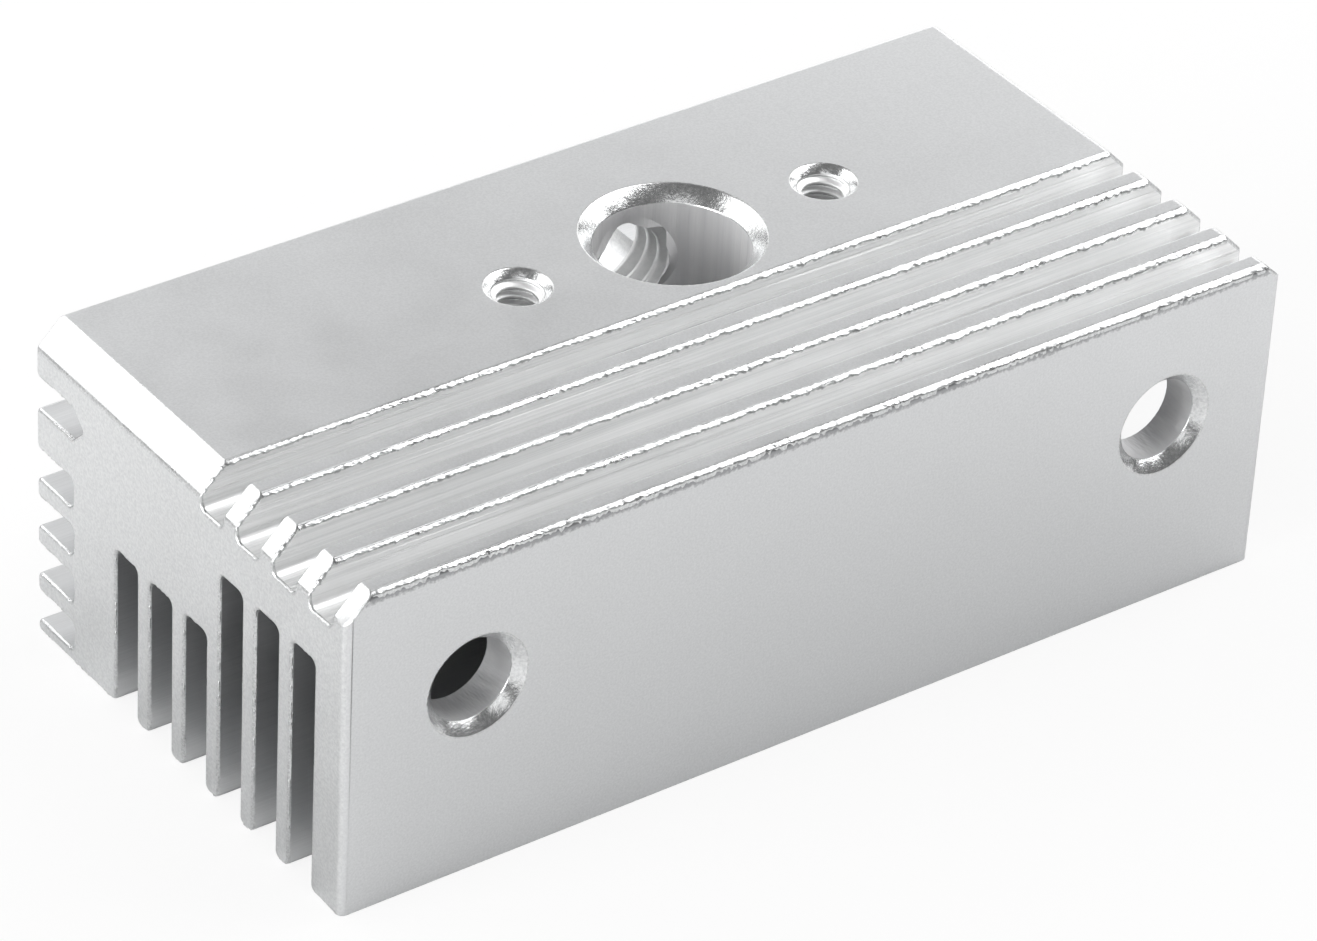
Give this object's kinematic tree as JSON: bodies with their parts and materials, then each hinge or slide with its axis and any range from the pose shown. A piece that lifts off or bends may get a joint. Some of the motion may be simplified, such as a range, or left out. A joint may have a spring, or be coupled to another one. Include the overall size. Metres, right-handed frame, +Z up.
{
  "type": "extruder heat sink",
  "caption": "Finned aluminium block that clamps and cools a filament extruder's throat tube, with a cross-drilled bore, tapped holes and long screw holes.",
  "frame": {"origin": "under the middle of the block, on the plane of its leg tips", "axes": "+X along the extrusion, towards the end where the long legs are cut back; +Y from the front plate to the rear fins; +Z up, out of the throat bore's chamfered mouth"},
  "size_m": [0.0418, 0.0206, 0.0137],
  "materials": {
    "drawn_aluminium": "natural, blasted fine, with drawn grooves and bright machined edges"
  },
  "bodies": {
    "root": {"heat_sink": "drawn_aluminium"}
  },
  "joints": []
}
